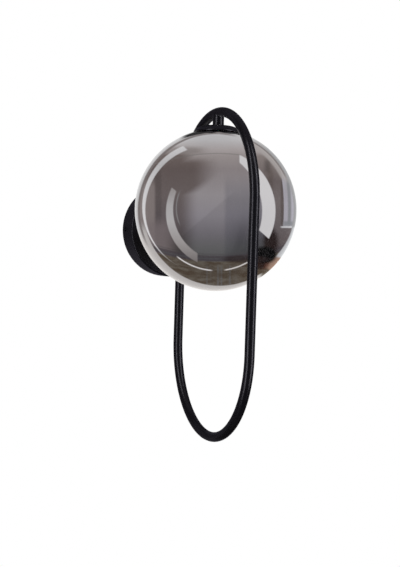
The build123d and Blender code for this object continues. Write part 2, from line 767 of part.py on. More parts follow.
nodes = {
    "ring_tube": ring_tube(),
    "ring_boss": ring_boss(),
    "globe_stem": globe_stem(),
    "canopy": canopy(),
    "wall_bracket": wall_bracket(),
    "canopy_screws": canopy_screws(),
    "canopy_nipple": canopy_nipple(),
    "canopy_nut": canopy_nut(),
    "canopy_washer": canopy_washer(),
    "cable_bush": cable_bush(),
    "terminal_block": terminal_block(),
    "terminal_sleeves": terminal_sleeves(),
    "clamp_screws": clamp_screws(),
    "block_screw": block_screw(),
    "bracket_lug": bracket_lug(),
    "nipple_lug": nipple_lug(),
    "earth_washer": earth_washer(),
    "earth_screw": earth_screw(),
    "earth_lead": earth_lead(),
    "live_wire": lamp_wire("live", 1),
    "neutral_wire": lamp_wire("neutral", -1),
    "globe_cap": globe_cap(),
    "neck_collar": neck_collar(),
    "stem_nipple": stem_nipple(),
    "stem_washer": stem_washer(),
    "stem_nut": stem_nut(),
    "stirrup": stirrup(),
    "lampholder": lampholder(),
    "lampholder_contacts": lampholder_contacts(),
    "lampholder_screws": lampholder_screws(),
    "neck_gasket": neck_gasket(),
    "glass_globe": glass_globe(),
    "lamp_base": lamp_base(),
    "lamp_pins": lamp_pins(),
    "lamp_envelope": lamp_envelope(),
    "led_core": led_core(),
}

os.makedirs("parts", exist_ok=True)
for name, shape in nodes.items():
    export_step(shape, f"parts/{name}.step")
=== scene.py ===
# %% [markdown]
# # A globe wall light, dressed
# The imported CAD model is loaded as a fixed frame: every solid is already in its place, in metres.
# The light stands with its wall side at y = 0, its front looks along -Y and +Z is up.
# What is added here is the look: studio, finishes, and the fine shapes that the CAD leaves plain.

# %% Load the frame
import json
from math import asin, cos, pi, radians, sin, sqrt, tan, tau

import bmesh
import bpy
from mathutils import Matrix, Vector

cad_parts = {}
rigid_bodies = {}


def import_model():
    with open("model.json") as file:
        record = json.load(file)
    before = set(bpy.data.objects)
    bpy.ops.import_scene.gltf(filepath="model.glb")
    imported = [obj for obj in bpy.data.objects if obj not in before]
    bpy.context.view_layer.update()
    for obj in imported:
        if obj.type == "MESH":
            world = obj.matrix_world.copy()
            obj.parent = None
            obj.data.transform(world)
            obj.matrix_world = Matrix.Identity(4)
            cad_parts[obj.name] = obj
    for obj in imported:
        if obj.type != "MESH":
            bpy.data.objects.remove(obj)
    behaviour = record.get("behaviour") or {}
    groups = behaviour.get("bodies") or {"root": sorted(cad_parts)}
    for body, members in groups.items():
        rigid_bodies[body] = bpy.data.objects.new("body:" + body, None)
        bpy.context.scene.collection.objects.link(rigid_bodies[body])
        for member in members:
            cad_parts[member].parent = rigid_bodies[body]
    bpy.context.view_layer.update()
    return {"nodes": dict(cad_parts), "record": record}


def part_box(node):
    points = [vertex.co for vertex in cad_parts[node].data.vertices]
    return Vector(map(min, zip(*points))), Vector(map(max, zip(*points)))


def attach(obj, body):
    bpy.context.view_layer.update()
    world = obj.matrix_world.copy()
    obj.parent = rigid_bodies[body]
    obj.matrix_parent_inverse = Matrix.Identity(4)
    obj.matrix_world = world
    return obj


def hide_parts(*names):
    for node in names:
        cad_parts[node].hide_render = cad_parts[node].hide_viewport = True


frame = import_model()
nodes = frame["nodes"]
scene = bpy.context.scene
MM = 0.001
MICRON = 0.001 * MM

# %% [markdown]
# ## Where things are
# Each value below comes from a node's own box, so the pieces follow the frame if its sizes change.
# The glass's box gives the middle of the sphere, because the sphere is the widest thing in it.

# %% Measure the frame
glass_low, glass_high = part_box("glass_globe")
globe_radius = (glass_high.x - glass_low.x) / 2
globe_centre = Vector((0, (glass_low.y + glass_high.y) / 2, glass_low.z + globe_radius))
print("globe radius", round(globe_radius, 4), "centre", [round(v, 4) for v in globe_centre])

# %% [markdown]
# ## The camera
# The photograph looks at the light from its front left, from about the globe's own height. A short telephoto
# lens at one and a half metres gives the same mild perspective, which shows in how the ring narrows. The
# camera's place and turn were fitted to the outlines of ring, globe and canopy.

# %% Place the camera
camera_place = Vector((-0.5806, -1.4994, -0.0198))
yaw, pitch, roll = radians(22.92), radians(-1.833), radians(1.782)
ahead = Vector((sin(yaw) * cos(pitch), cos(yaw) * cos(pitch), sin(pitch)))
level = Vector((cos(yaw), -sin(yaw), 0))
square = level.cross(ahead)
across = cos(roll) * level + sin(roll) * square
above = cos(roll) * square - sin(roll) * level
camera = bpy.data.objects.new("camera", bpy.data.cameras.new("camera"))
scene.collection.objects.link(camera)
camera.matrix_world = Matrix.Translation(camera_place) @ Matrix((across, above, -ahead)).transposed().to_4x4()
camera.data.lens = 74.27
camera.data.clip_start = 0.05
scene.camera = camera
scene.view_settings.view_transform = "Standard"
print("camera to globe", round((camera_place - globe_centre).length, 3), "m")

# %% [markdown]
# ## Node helpers
# A finish is a small tree of nodes. `node` adds one and joins or sets its inputs, so that a tree reads
# like a recipe. A value that is the same all over a surface is always set on the shader's own socket.

# %% Helpers for node trees
def node(tree, kind, inputs=None, **settings):
    """Adds a node. An input is given a plain value or the output socket that feeds it."""
    made = tree.nodes.new(kind)
    for name, value in settings.items():
        setattr(made, name, value)
    for name, value in (inputs or {}).items():
        socket = made.inputs[name]
        if isinstance(value, bpy.types.NodeSocket):
            tree.links.new(value, socket)
        else:
            socket.default_value = value
    return made


def maths(tree, operation, *values):
    return node(tree, "ShaderNodeMath", dict(enumerate(values)), operation=operation).outputs[0]


def rise(tree, value, start, end):
    """0 before start, 1 after end, and a soft step between."""
    return node(tree, "ShaderNodeMapRange", {"Value": value, "From Min": start, "From Max": end},
                interpolation_type="SMOOTHSTEP").outputs[0]


def mix(tree, factor, below, over, blend="MIX"):
    """Lays one colour over another: factor 0 shows the lower one alone."""
    made = node(tree, "ShaderNodeMix", data_type="RGBA", blend_type=blend, clamp_factor=True)
    for index, value in ((0, factor), (6, below), (7, over)):
        if isinstance(value, bpy.types.NodeSocket):
            tree.links.new(value, made.inputs[index])
        else:
            made.inputs[index].default_value = value
    return made.outputs[2]


def grey(level, warm=0.0):
    """A colour near grey: warm above 0 is browner, below 0 is bluer."""
    return (level * (1 + warm), level, level * (1 - warm), 1)


print("node helpers ready")

# %% [markdown]
# ## The studio
# A half mirrored globe shows nothing but its surroundings, so the studio is most of its look. A real one
# has cards, cloths and boards around the set. Here they are drawn once, on the world's sky.
# The mirror rule says where each card belongs: a direction shows on a mirror ball at the point that faces
# halfway between that direction and the camera. So the sky is drawn in two numbers, `side` and `high`:
# the place on the picture of the globe where that bit of sky shows, in globe radii from its middle.
# A camera this near sees the middle of the ball a little enlarged, which `nearness` allows for.

# %% Directions in the studio
world = bpy.data.worlds.new("studio")
scene.world = world
world.use_nodes = True
sky = world.node_tree
sky.nodes.clear()
towards = (camera_place - globe_centre).normalized()
rightwards = (across - towards * across.dot(towards)).normalized()
upwards = towards.cross(rightwards)
direction = node(sky, "ShaderNodeTexCoord").outputs["Generated"]
halfway = node(sky, "ShaderNodeVectorMath", {0: direction, 1: tuple(towards)}, operation="ADD").outputs[0]
facing = node(sky, "ShaderNodeVectorMath", {0: halfway}, operation="NORMALIZE").outputs[0]
turned_side, turned_up = (node(sky, "ShaderNodeVectorMath", {0: facing, 1: tuple(axis)},
                               operation="DOT_PRODUCT").outputs[1] for axis in (rightwards, upwards))
turned = maths(sky, "MULTIPLY_ADD", turned_side, turned_side, maths(sky, "MULTIPLY", turned_up, turned_up))
nearness = maths(sky, "MULTIPLY_ADD", maths(sky, "MULTIPLY", turned, turned), -0.034, 1.044)
side = maths(sky, "MULTIPLY_ADD", turned_side, nearness, -0.0175)
high = maths(sky, "MULTIPLY_ADD", turned_up, nearness, -0.015)
out_from_middle = maths(sky, "MULTIPLY", maths(sky, "SQRT", turned), nearness)
side_squared = maths(sky, "MULTIPLY", side, side)
print("studio axes", [[round(v, 3) for v in a] for a in (rightwards, upwards, towards)])

# %% [markdown]
# A card is a number that is 1 where the card hangs and 0 elsewhere, with an edge as soft as cloth or as
# sharp as board. Cards are cut from limits on `side`, on `high` or on the distance from a point.

# %% Limits for cards
def past(value, limit, soft=0.02):
    """1 where the value is above the limit."""
    return rise(sky, value, limit - soft, limit + soft)


def under(value, limit, soft=0.02):
    """1 where the value is below the limit."""
    return maths(sky, "SUBTRACT", 1.0, past(value, limit, soft))


def between(value, lower, upper, soft=0.02):
    return maths(sky, "MULTIPLY", past(value, lower, soft), under(value, upper, soft))


def both(*masks):
    """1 only where all of the masks are 1."""
    joined = masks[0]
    for mask in masks[1:]:
        joined = maths(sky, "MULTIPLY", joined, mask)
    return joined


def tilted(slope):
    """A height that also climbs with `side`, for a limit that runs askew."""
    return maths(sky, "MULTIPLY_ADD", side, slope, high)


def distance_from(x, y, wide=1.0, tall=1.0):
    """Distance from a point on the globe's face, measured in an oval's own half sizes."""
    dx = maths(sky, "DIVIDE", maths(sky, "SUBTRACT", side, x), wide)
    dy = maths(sky, "DIVIDE", maths(sky, "SUBTRACT", high, y), tall)
    return maths(sky, "SQRT", maths(sky, "MULTIPLY_ADD", dx, dx, maths(sky, "MULTIPLY", dy, dy)))


print("limits for cards ready")

# %% [markdown]
# A card has a colour of its own or a gradient, and is laid over the cards before it. `shade` lays it as a
# tinted film would: what lies under it is multiplied by its colour.

# %% Colour and hang a card
def gradient(value, *stops):
    """A colour ramp between stops, each a place and a colour."""
    first, last = stops[0][0], stops[-1][0]
    along = node(sky, "ShaderNodeMapRange", {"Value": value, "From Min": first, "From Max": last}).outputs[0]
    ramp = node(sky, "ShaderNodeValToRGB", {"Fac": along})
    elements = ramp.color_ramp.elements
    while len(elements) < len(stops):
        elements.new(0.5)
    for element, (place, colour) in zip(elements, stops):
        element.position = (place - first) / (last - first)
        element.color = colour
    return ramp.outputs[0]


def hang(mask, colour, strength=1.0, blend="MIX"):
    """Lays one card over those before it."""
    global cards
    cards = mix(sky, maths(sky, "MULTIPLY", mask, strength), cards, colour, blend)


def shade(mask, colour, strength=1.0):
    hang(mask, colour, strength, "MULTIPLY")


print("cards can be hung")

# %% [markdown]
# The first card is the whole backdrop, a soft gradient from the floor in front of the set up to the white
# cloth overhead. The screen behind the camera is grey-violet. Its left side fades into a darker and
# browner room, and a dim slanted patch lies over its lower right.

# %% Backdrop, screen and room
cards = gradient(high, (-0.64, grey(0.21, -0.02)), (-0.49, grey(0.30, -0.01)), (-0.30, (0.43, 0.41, 0.45, 1)),
                 (-0.08, (0.62, 0.59, 0.64, 1)), (0.18, (0.70, 0.66, 0.68, 1)), (0.50, (0.60, 0.54, 0.54, 1)),
                 (0.66, (0.74, 0.67, 0.65, 1)), (0.74, (0.92, 0.85, 0.83, 1)), (0.86, grey(1.10)),
                 (1.0, grey(1.0)))
dim_patch = both(under(tilted(-0.855), 0.036, 0.02), under(high, 0.2, 0.1), past(high, -0.5, 0.15))
shade(dim_patch, grey(0.88))
screen_right = both(past(side, 0.10, 0.035), under(high, 0.34, 0.16))
shade(screen_right, (0.76, 0.77, 0.80, 1))
screen_foot = both(past(side, 0.22, 0.10), under(high, -0.20, 0.25))
shade(screen_foot, grey(0.72))
room_corner = both(past(tilted(-0.68), 0.42, 0.07), under(high, 0.62, 0.06), under(side, -0.12, 0.20))
room = maths(sky, "MAXIMUM", under(side, -0.345, 0.13), room_corner)
shade(both(room, under(high, 0.69, 0.03)), (0.47, 0.42, 0.395, 1))
print("screen and room hung")

# %% [markdown]
# The left wall of the room has a darker seam, and is browner towards its foot. The overhead cloth throws a
# soft shade there, and its front edge is a fine curved line right over the screen.

# %% Left wall and overhead cloth
wall_seam = both(between(side, -0.80, -0.695, 0.02), between(high, -0.25, 0.5, 0.10))
shade(wall_seam, grey(0.80))
left_wall = both(under(side, -0.775, 0.02), between(high, -0.62, 0.34, 0.08))
hang(left_wall, (0.52, 0.45, 0.43, 1), 0.9)
wall_foot = both(under(side, -0.56, 0.12), between(high, -0.62, -0.15, 0.10))
hang(wall_foot, (0.42, 0.355, 0.36, 1), 0.8)
cloth_shade = both(between(high, 0.69, 0.77, 0.03), under(side, -0.18, 0.12))
shade(cloth_shade, grey(0.66, 0.02))
cloth_line = maths(sky, "MULTIPLY_ADD", side_squared, 0.22, high)
cloth_edge = both(between(cloth_line, 0.687, 0.699, 0.006), under(side, 0.30, 0.05))
hang(cloth_edge, grey(0.38, 0.05), 0.55)
print("left wall hung")

# %% [markdown]
# The right side of the room is brown, paler towards the top, and starts where the right softbox ends. A few
# upright streaks in it are the edges of darker things.

# %% Right side of the room
right_box_edge = (-0.037, -0.025, 0.7685)
beyond = both(past(distance_from(*right_box_edge[:2]), right_box_edge[2], 0.01), past(side, 0.45, 0.05))
brown = gradient(high, (-0.6, (0.17, 0.13, 0.13, 1)), (-0.25, (0.30, 0.26, 0.26, 1)),
                 (0.1, (0.38, 0.33, 0.32, 1)), (0.35, (0.30, 0.25, 0.24, 1)), (0.62, (0.52, 0.45, 0.42, 1)))
hang(both(beyond, between(high, -0.60, 0.68, 0.04)), brown, 0.95)
near_streak = both(between(side, 0.63, 0.70, 0.025), between(high, 0.1, 0.5, 0.06))
shade(near_streak, grey(0.72, 0.04), 0.8)
far_streak = both(between(side, 0.795, 0.832, 0.01), between(high, -0.20, 0.46, 0.04))
shade(far_streak, grey(0.66, 0.03), 0.9)
high_streak = both(between(side, 0.590, 0.665, 0.03), between(high, 0.46, 0.62, 0.05))
shade(high_streak, grey(0.60))
print("right side hung")

# %% [markdown]
# Beyond it is a doorway with a pale wall in it, which starts with a sharp upright edge and ends below in a
# bright sill. The ball bends uprights there, so they are limits on `bent`, which is `side` with a bow.

# %% Doorway
bent = maths(sky, "MULTIPLY_ADD", maths(sky, "MULTIPLY", high, high), 0.2, side)
hang(both(past(bent, 0.835, 0.006), past(high, -0.215, 0.008)), (0.86, 0.84, 0.93, 1))
hang(both(past(side, 0.84, 0.02), past(high, 0.18, 0.14)), (0.70, 0.68, 0.70, 1), 0.6)
post = both(between(bent, 0.885, 0.922, 0.012), past(high, -0.20, 0.02))
hang(post, grey(0.50, -0.03), 0.9)
skirting = both(between(high, -0.210, -0.150, 0.02), past(side, 0.83, 0.02))
hang(skirting, grey(0.54, -0.05), 0.85)
sill = both(between(high, -0.234, -0.212, 0.006), past(side, 0.80, 0.02))
hang(sill, grey(1.35, -0.02), 0.85)
lintel = both(past(out_from_middle, 0.905, 0.015), between(high, 0.36, 0.86, 0.06), past(side, 0.4, 0.08))
hang(lintel, (0.84, 0.79, 0.76, 1), 0.9)
print("doorway hung")

# %% [markdown]
# Under the light lie brown boards, with a dark gap where they meet the screen. Noise that is stretched along
# the boards is their grain, and a few pale upright streaks are gloss on them.

# %% Boards
low_line = maths(sky, "MULTIPLY_ADD", side_squared, -0.20, high)
hang(between(low_line, -0.655, -0.584, 0.010), (0.135, 0.115, 0.130, 1), 0.8)
hang(between(low_line, -0.628, -0.618, 0.006), grey(0.20, -0.05), 0.7)
hang(between(low_line, -0.572, -0.562, 0.006), (0.16, 0.14, 0.15, 1), 0.6)
planks = node(sky, "ShaderNodeCombineXYZ", {"X": maths(sky, "MULTIPLY", side, 7.0),
                                           "Y": maths(sky, "MULTIPLY", low_line, 30.0)}).outputs[0]
weave = node(sky, "ShaderNodeTexNoise", {"Vector": planks, "Scale": 1.0, "Detail": 3.0}).outputs["Fac"]
wood = mix(sky, rise(sky, weave, 0.30, 0.72), (0.160, 0.118, 0.080, 1), (0.290, 0.255, 0.205, 1))
hang(under(low_line, -0.657, 0.010), wood)
along = maths(sky, "MULTIPLY", side, 28.0)
streaks = node(sky, "ShaderNodeTexNoise", {"W": along, "Scale": 1.0}, noise_dimensions="1D").outputs["Fac"]
gloss = both(between(side, -0.14, 0.22, 0.05), under(low_line, -0.71, 0.04), rise(sky, streaks, 0.48, 0.62))
hang(gloss, (0.30, 0.31, 0.32, 1), 0.5)
hang(between(low_line, -0.845, -0.80, 0.025), (0.13, 0.085, 0.05, 1), 0.45)
print("boards laid")

# %% [markdown]
# The boards end some way behind the set, where white cloth takes over, and that cloth is the bright rim of
# the globe. A thin dark line inside the rim, over its upper half, is a painted reflection: it stands in for
# the doubled edge that the thick glass wall shows.

# %% Rim of cloth and a painted contour inside it
low_rim = both(past(distance_from(0.031, -0.006), 0.95, 0.006), under(high, -0.22, 0.10),
               under(side, 0.55, 0.03))
hang(low_rim, grey(0.99, 0.035))
left_rim = both(past(out_from_middle, 0.968, 0.008), past(high, -0.30, 0.08), under(side, 0.5, 0.2))
hang(left_rim, grey(0.98))
right_rim = both(past(out_from_middle, 0.972, 0.008), past(high, -0.30, 0.08), past(side, 0.5, 0.2))
hang(right_rim, grey(0.62, -0.01))
right_cloth = both(past(distance_from(0.05, 0.05), 0.935, 0.008), past(side, 0.5, 0.1),
                   between(high, -0.62, -0.225, 0.02))
hang(right_cloth, grey(0.96, -0.02))
# painted reflection: dark lines inside the rim stand in for the doubled edge of the thick glass wall
left_painted_contour = both(between(out_from_middle, 0.942, 0.966, 0.006), past(high, -0.40, 0.12),
                 under(side, 0.2, 0.1))
hang(left_painted_contour, (0.36, 0.32, 0.31, 1), 0.9)
right_painted_contour = both(between(out_from_middle, 0.955, 0.972, 0.006), past(high, 0.40, 0.06), past(side, 0.4, 0.1))
hang(right_painted_contour, (0.30, 0.27, 0.26, 1), 0.8)
print("rim hung")

# %% [markdown]
# Something dark stands low on the right of the set, with a warm board beside it: a few soft oval spots draw
# them. Two bent strips of white edging lie on the boards, and a faint one runs beside the left softbox. They
# are small, but the eye finds them at once on a mirror.

# %% Small things on the floor
def spot(x, y, wide, tall, soft, colour, strength):
    """Hangs a soft oval."""
    hang(under(distance_from(x, y, wide, tall), 1.0, soft), colour, strength)


spot(0.73, -0.68, 0.14, 0.085, 0.22, (0.56, 0.37, 0.28, 1), 1.0)
spot(0.575, -0.66, 0.075, 0.085, 0.35, (0.17, 0.065, 0.04, 1), 0.95)
spot(0.530, -0.69, 0.070, 0.060, 0.30, (0.050, 0.030, 0.025, 1), 0.9)
spot(0.672, -0.41, 0.090, 0.17, 0.40, (0.040, 0.024, 0.022, 1), 0.95)
spot(0.60, -0.57, 0.140, 0.105, 0.22, grey(0.010), 1.0)
spot(0.36, -0.625, 0.28, 0.045, 0.30, (0.060, 0.040, 0.038, 1), 0.75)
bearing = maths(sky, "MULTIPLY", maths(sky, "ARCTAN2", high, side), 180 / pi)
edging = between(distance_from(-0.006, 0.0125), 0.774, 0.789, 0.005)
hang(both(edging, between(bearing, -129.5, -95.0, 2.0)), grey(1.60, 0.02))
hang(both(edging, between(bearing, -82.3, -59.7, 2.0)), grey(1.50, 0.04))
faint_edging = both(between(distance_from(0.0, 0.012), 0.503, 0.516, 0.005), between(high, -0.18, 0.21, 0.05))
hang(both(faint_edging, under(side, 0)), grey(0.58), 0.8)
print("floor dressed")

# %% [markdown]
# The softboxes that the globe shows are three upright strips. On the ball each is a crescent, cut square at
# its ends. The left one fades towards its ends, as cloth does that is lit from its middle.

# %% Softboxes as the globe shows them
def crescent(outer, inner, soft=0.008):
    """What lies inside one circle and outside another, each given as x, y and radius."""
    inside_outer = under(distance_from(*outer[:2]), outer[2], soft)
    return both(inside_outer, past(distance_from(*inner[:2]), inner[2], soft))


right_box = crescent(right_box_edge, (-0.2142, -0.0241, 0.780))
hang(both(right_box, past(side, 0.281, 0.008), past(tilted(0.875), 0.199, 0.010)), grey(1.48, 0.003))
left_box = crescent((0.0514, -0.0416, 0.6905), (0.0913, -0.0066, 0.6407))
left_light = gradient(high, (-0.64, (0.48, 0.44, 0.43, 1)), (-0.42, (0.82, 0.78, 0.76, 1)),
                      (-0.15, grey(1.08, 0.01)), (0.05, grey(1.02, 0.01)), (0.28, (0.70, 0.65, 0.63, 1)))
hang(both(left_box, under(tilted(0.86), -0.215, 0.010), under(side, -0.244, 0.008)), left_light)
far_box = crescent((-0.1136, 0.0261, 0.8176), (-0.0982, -0.0132, 0.7966))
far_light = gradient(high, (-0.46, grey(1.80)), (0.05, grey(1.50)), (0.35, grey(1.38)), (0.55, grey(1.12)),
                     (0.80, grey(1.42)))
hang(both(far_box, under(tilted(0.95), 0.385, 0.015)), far_light)
print("softboxes hung")

# %% [markdown]
# Last comes a painted reflection of the cap, which hangs just over the globe's shoulder. The cap's edge is
# drawn on the sky where the wavy glass there shows it: a thin dark line with a light one above it.

# %% Painted reflection of the cap's edge over the shoulder
cap_reflection_line = maths(sky, "MULTIPLY_ADD", side_squared, 0.42, high)
under_cap_reflection = between(side, -0.42, 0.42, 0.06)
# painted reflection of the cap's edge: a dark line, and a painted light line just above it
hang(both(past(cap_reflection_line, 0.946, 0.005), under_cap_reflection), grey(0.05))
hang(both(between(cap_reflection_line, 0.981, 0.988, 0.003), under_cap_reflection), grey(0.9), 0.7)
print("cap's edge drawn")

# %% [markdown]
# The camera and clear glass see plain white, and the soft light that reaches everything is an even grey.
# Only a perfect mirror, which the globe is, sees the cards as they are. Satin and plated surfaces see them
# dimmed, most of all behind the camera and far round the rim, as black paint in the photograph hardly shows
# them. Strength 1 with a colour of 1 is white in the picture.

# %% Join the sky to the world
path = node(sky, "ShaderNodeLightPath").outputs
plain = maths(sky, "MAXIMUM", path["Is Camera Ray"], path["Is Transmission Ray"])
behind_camera = both(between(side, -0.28, 0.22, 0.12), between(high, -0.45, 0.40, 0.15))
dimming = mix(sky, behind_camera, (0.16, 0.155, 0.195, 1), (0.05, 0.048, 0.06, 1))
dimming = mix(sky, past(out_from_middle, 0.80, 0.12), dimming, (0.085, 0.082, 0.105, 1))
mirrored = mix(sky, path["Is Singular Ray"], mix(sky, 1.0, cards, dimming, "MULTIPLY"), cards)
seen = mix(sky, path["Is Glossy Ray"], grey(0.8), mirrored)
seen = mix(sky, plain, seen, (1, 1, 1, 1))
background = node(sky, "ShaderNodeBackground", {"Color": seen, "Strength": 1.0})
node(sky, "ShaderNodeOutputWorld", {"Surface": background.outputs[0]})
print("sky nodes", len(sky.nodes))

# %% [markdown]
# ## Softboxes
# The same softboxes are also real area lamps, one on the right and one on the left. They light the solid
# pieces and draw the two light stripes down the black tube. The globe already shows them as cards, so they
# will be linked to everything but the glass, once all pieces are made. `brightness` is how bright the cloth
# of the softbox looks, so a larger box takes more power.

# %% Set up the softboxes
def softbox(name, bearing, half_width, low, tall, brightness):
    """An upright lamp round the globe, one metre away. Its foot is `low` metres above the globe's middle."""
    angle = radians(bearing)
    outwards = towards * cos(angle) + rightwards * sin(angle)
    sideways = rightwards * cos(angle) - towards * sin(angle)
    lamp = bpy.data.lights.new(name, "AREA")
    lamp.shape = "RECTANGLE"
    lamp.size, lamp.size_y = 2 * tan(radians(half_width)), tall
    lamp.energy = brightness * lamp.size * lamp.size_y * pi
    made = bpy.data.objects.new(name, lamp)
    scene.collection.objects.link(made)
    middle = globe_centre + outwards + upwards * (low + tall / 2)
    axes = Matrix((sideways, upwards, outwards)).transposed().to_4x4()
    made.matrix_world = Matrix.Translation(middle) @ axes
    made.visible_camera = False
    print(name, "size", round(lamp.size, 3), "x", tall, "power", round(lamp.energy, 2))
    return made


print("softboxes ready")

# %% [markdown]
# ## Floor
# A plain pale floor lies well below the light and only brightens it from beneath. The globe's mirror shows
# the drawn boards instead of it.

# %% Lay the floor
def new_piece(name):
    """An empty mesh object at the origin, and the bmesh to fill it."""
    made = bpy.data.objects.new(name, bpy.data.meshes.new(name))
    scene.collection.objects.link(made)
    return made, bmesh.new()


floor, bm = new_piece("floor")
bmesh.ops.create_grid(bm, x_segments=2, y_segments=2, size=3.0)
bmesh.ops.translate(bm, verts=bm.verts, vec=(0, 0, -1.3))
bm.to_mesh(floor.data)
floor.visible_glossy = False
pale = bpy.data.materials.new("pale_floor")
pale.use_nodes = True
ground = pale.node_tree
ground.nodes.clear()
ray = node(ground, "ShaderNodeLightPath").outputs
matt = node(ground, "ShaderNodeBsdfDiffuse", {"Color": grey(0.8)}).outputs[0]
white = node(ground, "ShaderNodeEmission", {"Color": grey(1.0), "Strength": 1.0}).outputs[0]
clear_view = maths(ground, "MAXIMUM", ray["Is Camera Ray"], ray["Is Transmission Ray"])
blend = node(ground, "ShaderNodeMixShader", {0: clear_view, 1: matt, 2: white}).outputs[0]
node(ground, "ShaderNodeOutputMaterial", {"Surface": blend})
floor.data.materials.append(pale)
print("floor laid")

# %% [markdown]
# ## Finishes
# Every finish starts from the same few effects: a slow mottle that keeps colour and gloss from being flat,
# and a fine grain for the skin of paint, plating or mould. Each effect is a node group with named inputs,
# made once. A group gives out only values, and the shader stays in the material.

# %% Effects shared by the finishes
def effect(name, inputs, outputs):
    """A new node group with its input and output sockets."""
    tree = bpy.data.node_groups.new(name, "ShaderNodeTree")
    for socket, value in inputs.items():
        tree.interface.new_socket(socket, in_out="INPUT", socket_type="NodeSocketFloat").default_value = value
    for socket in outputs:
        tree.interface.new_socket(socket, in_out="OUTPUT", socket_type="NodeSocketFloat")
    return tree, tree.nodes.new("NodeGroupInput").outputs, tree.nodes.new("NodeGroupOutput")


def noise(tree, place, scale, detail=2.0):
    clouds = node(tree, "ShaderNodeTexNoise", {"Vector": place, "Scale": scale, "Detail": detail})
    return clouds.outputs["Fac"]


mottle, given, result = effect("mottle", {"Scale": 60.0, "Low": 0.3, "High": 0.4}, ["Value"])
spots = noise(mottle, node(mottle, "ShaderNodeTexCoord").outputs["Object"], given["Scale"], 3.0)
spread = node(mottle, "ShaderNodeMapRange", {"Value": spots, "From Min": 0.3, "From Max": 0.7,
                                            "To Min": given["Low"], "To Max": given["High"]})
mottle.links.new(spread.outputs[0], result.inputs["Value"])

grain, given, result = effect("grain", {"Scale": 900.0, "Stretch": 1.0}, ["Height"])
place = node(grain, "ShaderNodeTexCoord").outputs["Object"]
squeeze = node(grain, "ShaderNodeCombineXYZ", {"X": 1.0, "Y": 1.0, "Z": given["Stretch"]}).outputs[0]
drawn = node(grain, "ShaderNodeVectorMath", {0: place, 1: squeeze}, operation="MULTIPLY").outputs[0]
coarse = noise(grain, drawn, given["Scale"])
fine = noise(grain, drawn, maths(grain, "MULTIPLY", given["Scale"], 3.1))
layers = maths(grain, "ADD", maths(grain, "MULTIPLY", coarse, 0.7), maths(grain, "MULTIPLY", fine, 0.3))
grain.links.new(layers, result.inputs["Height"])
print("effects", mottle.name, grain.name)

# %% [markdown]
# `finish` makes a material from two close colours that the mottle mixes, a range of roughness and a grain.
# `depth` is the height of the grain and `stretch` draws it out upwards. The remaining values are plain and
# go straight on the shader, so that they also survive an export.

# %% Recipe for a finish
def shared(tree, group, **inputs):
    """Places a shared effect with its own values, and gives its output."""
    placed = node(tree, "ShaderNodeGroup", node_tree=group)
    for name, value in inputs.items():
        placed.inputs[name].default_value = value
    return placed.outputs[0]


def finish(name, colours, rough, grain_scale=900.0, depth=10 * MICRON, stretch=1.0, spots=60.0, **plain):
    """Material with mottled colour and gloss. Returns it with its tree and shader."""
    made = bpy.data.materials.new(name)
    made.use_nodes = True
    tree, shader = made.node_tree, made.node_tree.nodes["Principled BSDF"]
    clouds = shared(tree, mottle, Scale=spots, Low=0.0, High=1.0)
    colour = mix(tree, clouds, (*colours[0], 1), (*colours[1], 1))
    tree.links.new(colour, shader.inputs["Base Color"])
    roughness = shared(tree, mottle, Scale=spots * 1.7, Low=rough[0], High=rough[1])
    tree.links.new(roughness, shader.inputs["Roughness"])
    if depth:
        skin = shared(tree, grain, Scale=grain_scale, Stretch=stretch)
        bump = node(tree, "ShaderNodeBump", {"Height": skin, "Strength": 1.0, "Distance": depth})
        tree.links.new(bump.outputs[0], shader.inputs["Normal"])
    for socket, value in plain.items():
        shader.inputs[socket.replace("_", " ")].default_value = value
    finishes[name] = made
    return made, tree, shader


finishes = {}
print("recipe ready")

# %% [markdown]
# The black is a satin powder coat. Under a lens it is a very fine orange peel, and its gloss wanders a
# little, which keeps the two long highlights down the tube alive. The plated steels are metals whose gloss
# is uneven in soft clouds, as zinc is.

# %% Paint and metals
finish("black_paint", ((0.0024, 0.0023, 0.0032), (0.0036, 0.0034, 0.0047)), rough=(0.25, 0.29),
       grain_scale=1600.0, depth=0.8 * MICRON, Specular_Tint=(0.91, 0.89, 1.0, 1))
finish("zinc_steel", ((0.56, 0.57, 0.59), (0.66, 0.66, 0.65)), rough=(0.26, 0.42),
       grain_scale=1500.0, depth=4 * MICRON, stretch=0.15, spots=140.0, Metallic=1.0)
finish("brass", ((0.66, 0.46, 0.20), (0.76, 0.57, 0.28)), rough=(0.24, 0.38),
       grain_scale=1800.0, depth=3 * MICRON, spots=200.0, Metallic=1.0)
finish("tinned_copper", ((0.66, 0.64, 0.61), (0.74, 0.72, 0.69)), rough=(0.30, 0.45),
       grain_scale=1600.0, depth=5 * MICRON, spots=180.0, Metallic=1.0)
finish("nickel_plate", ((0.64, 0.61, 0.56), (0.72, 0.69, 0.64)), rough=(0.16, 0.26),
       grain_scale=2000.0, depth=2 * MICRON, spots=150.0, Metallic=1.0)
print(sorted(finishes))

# %% [markdown]
# Moulded plastics and silicone are pale and slightly see-through at their skin, so a little light goes under
# the surface. The ceramic has a thin glaze, which is a coat over it.

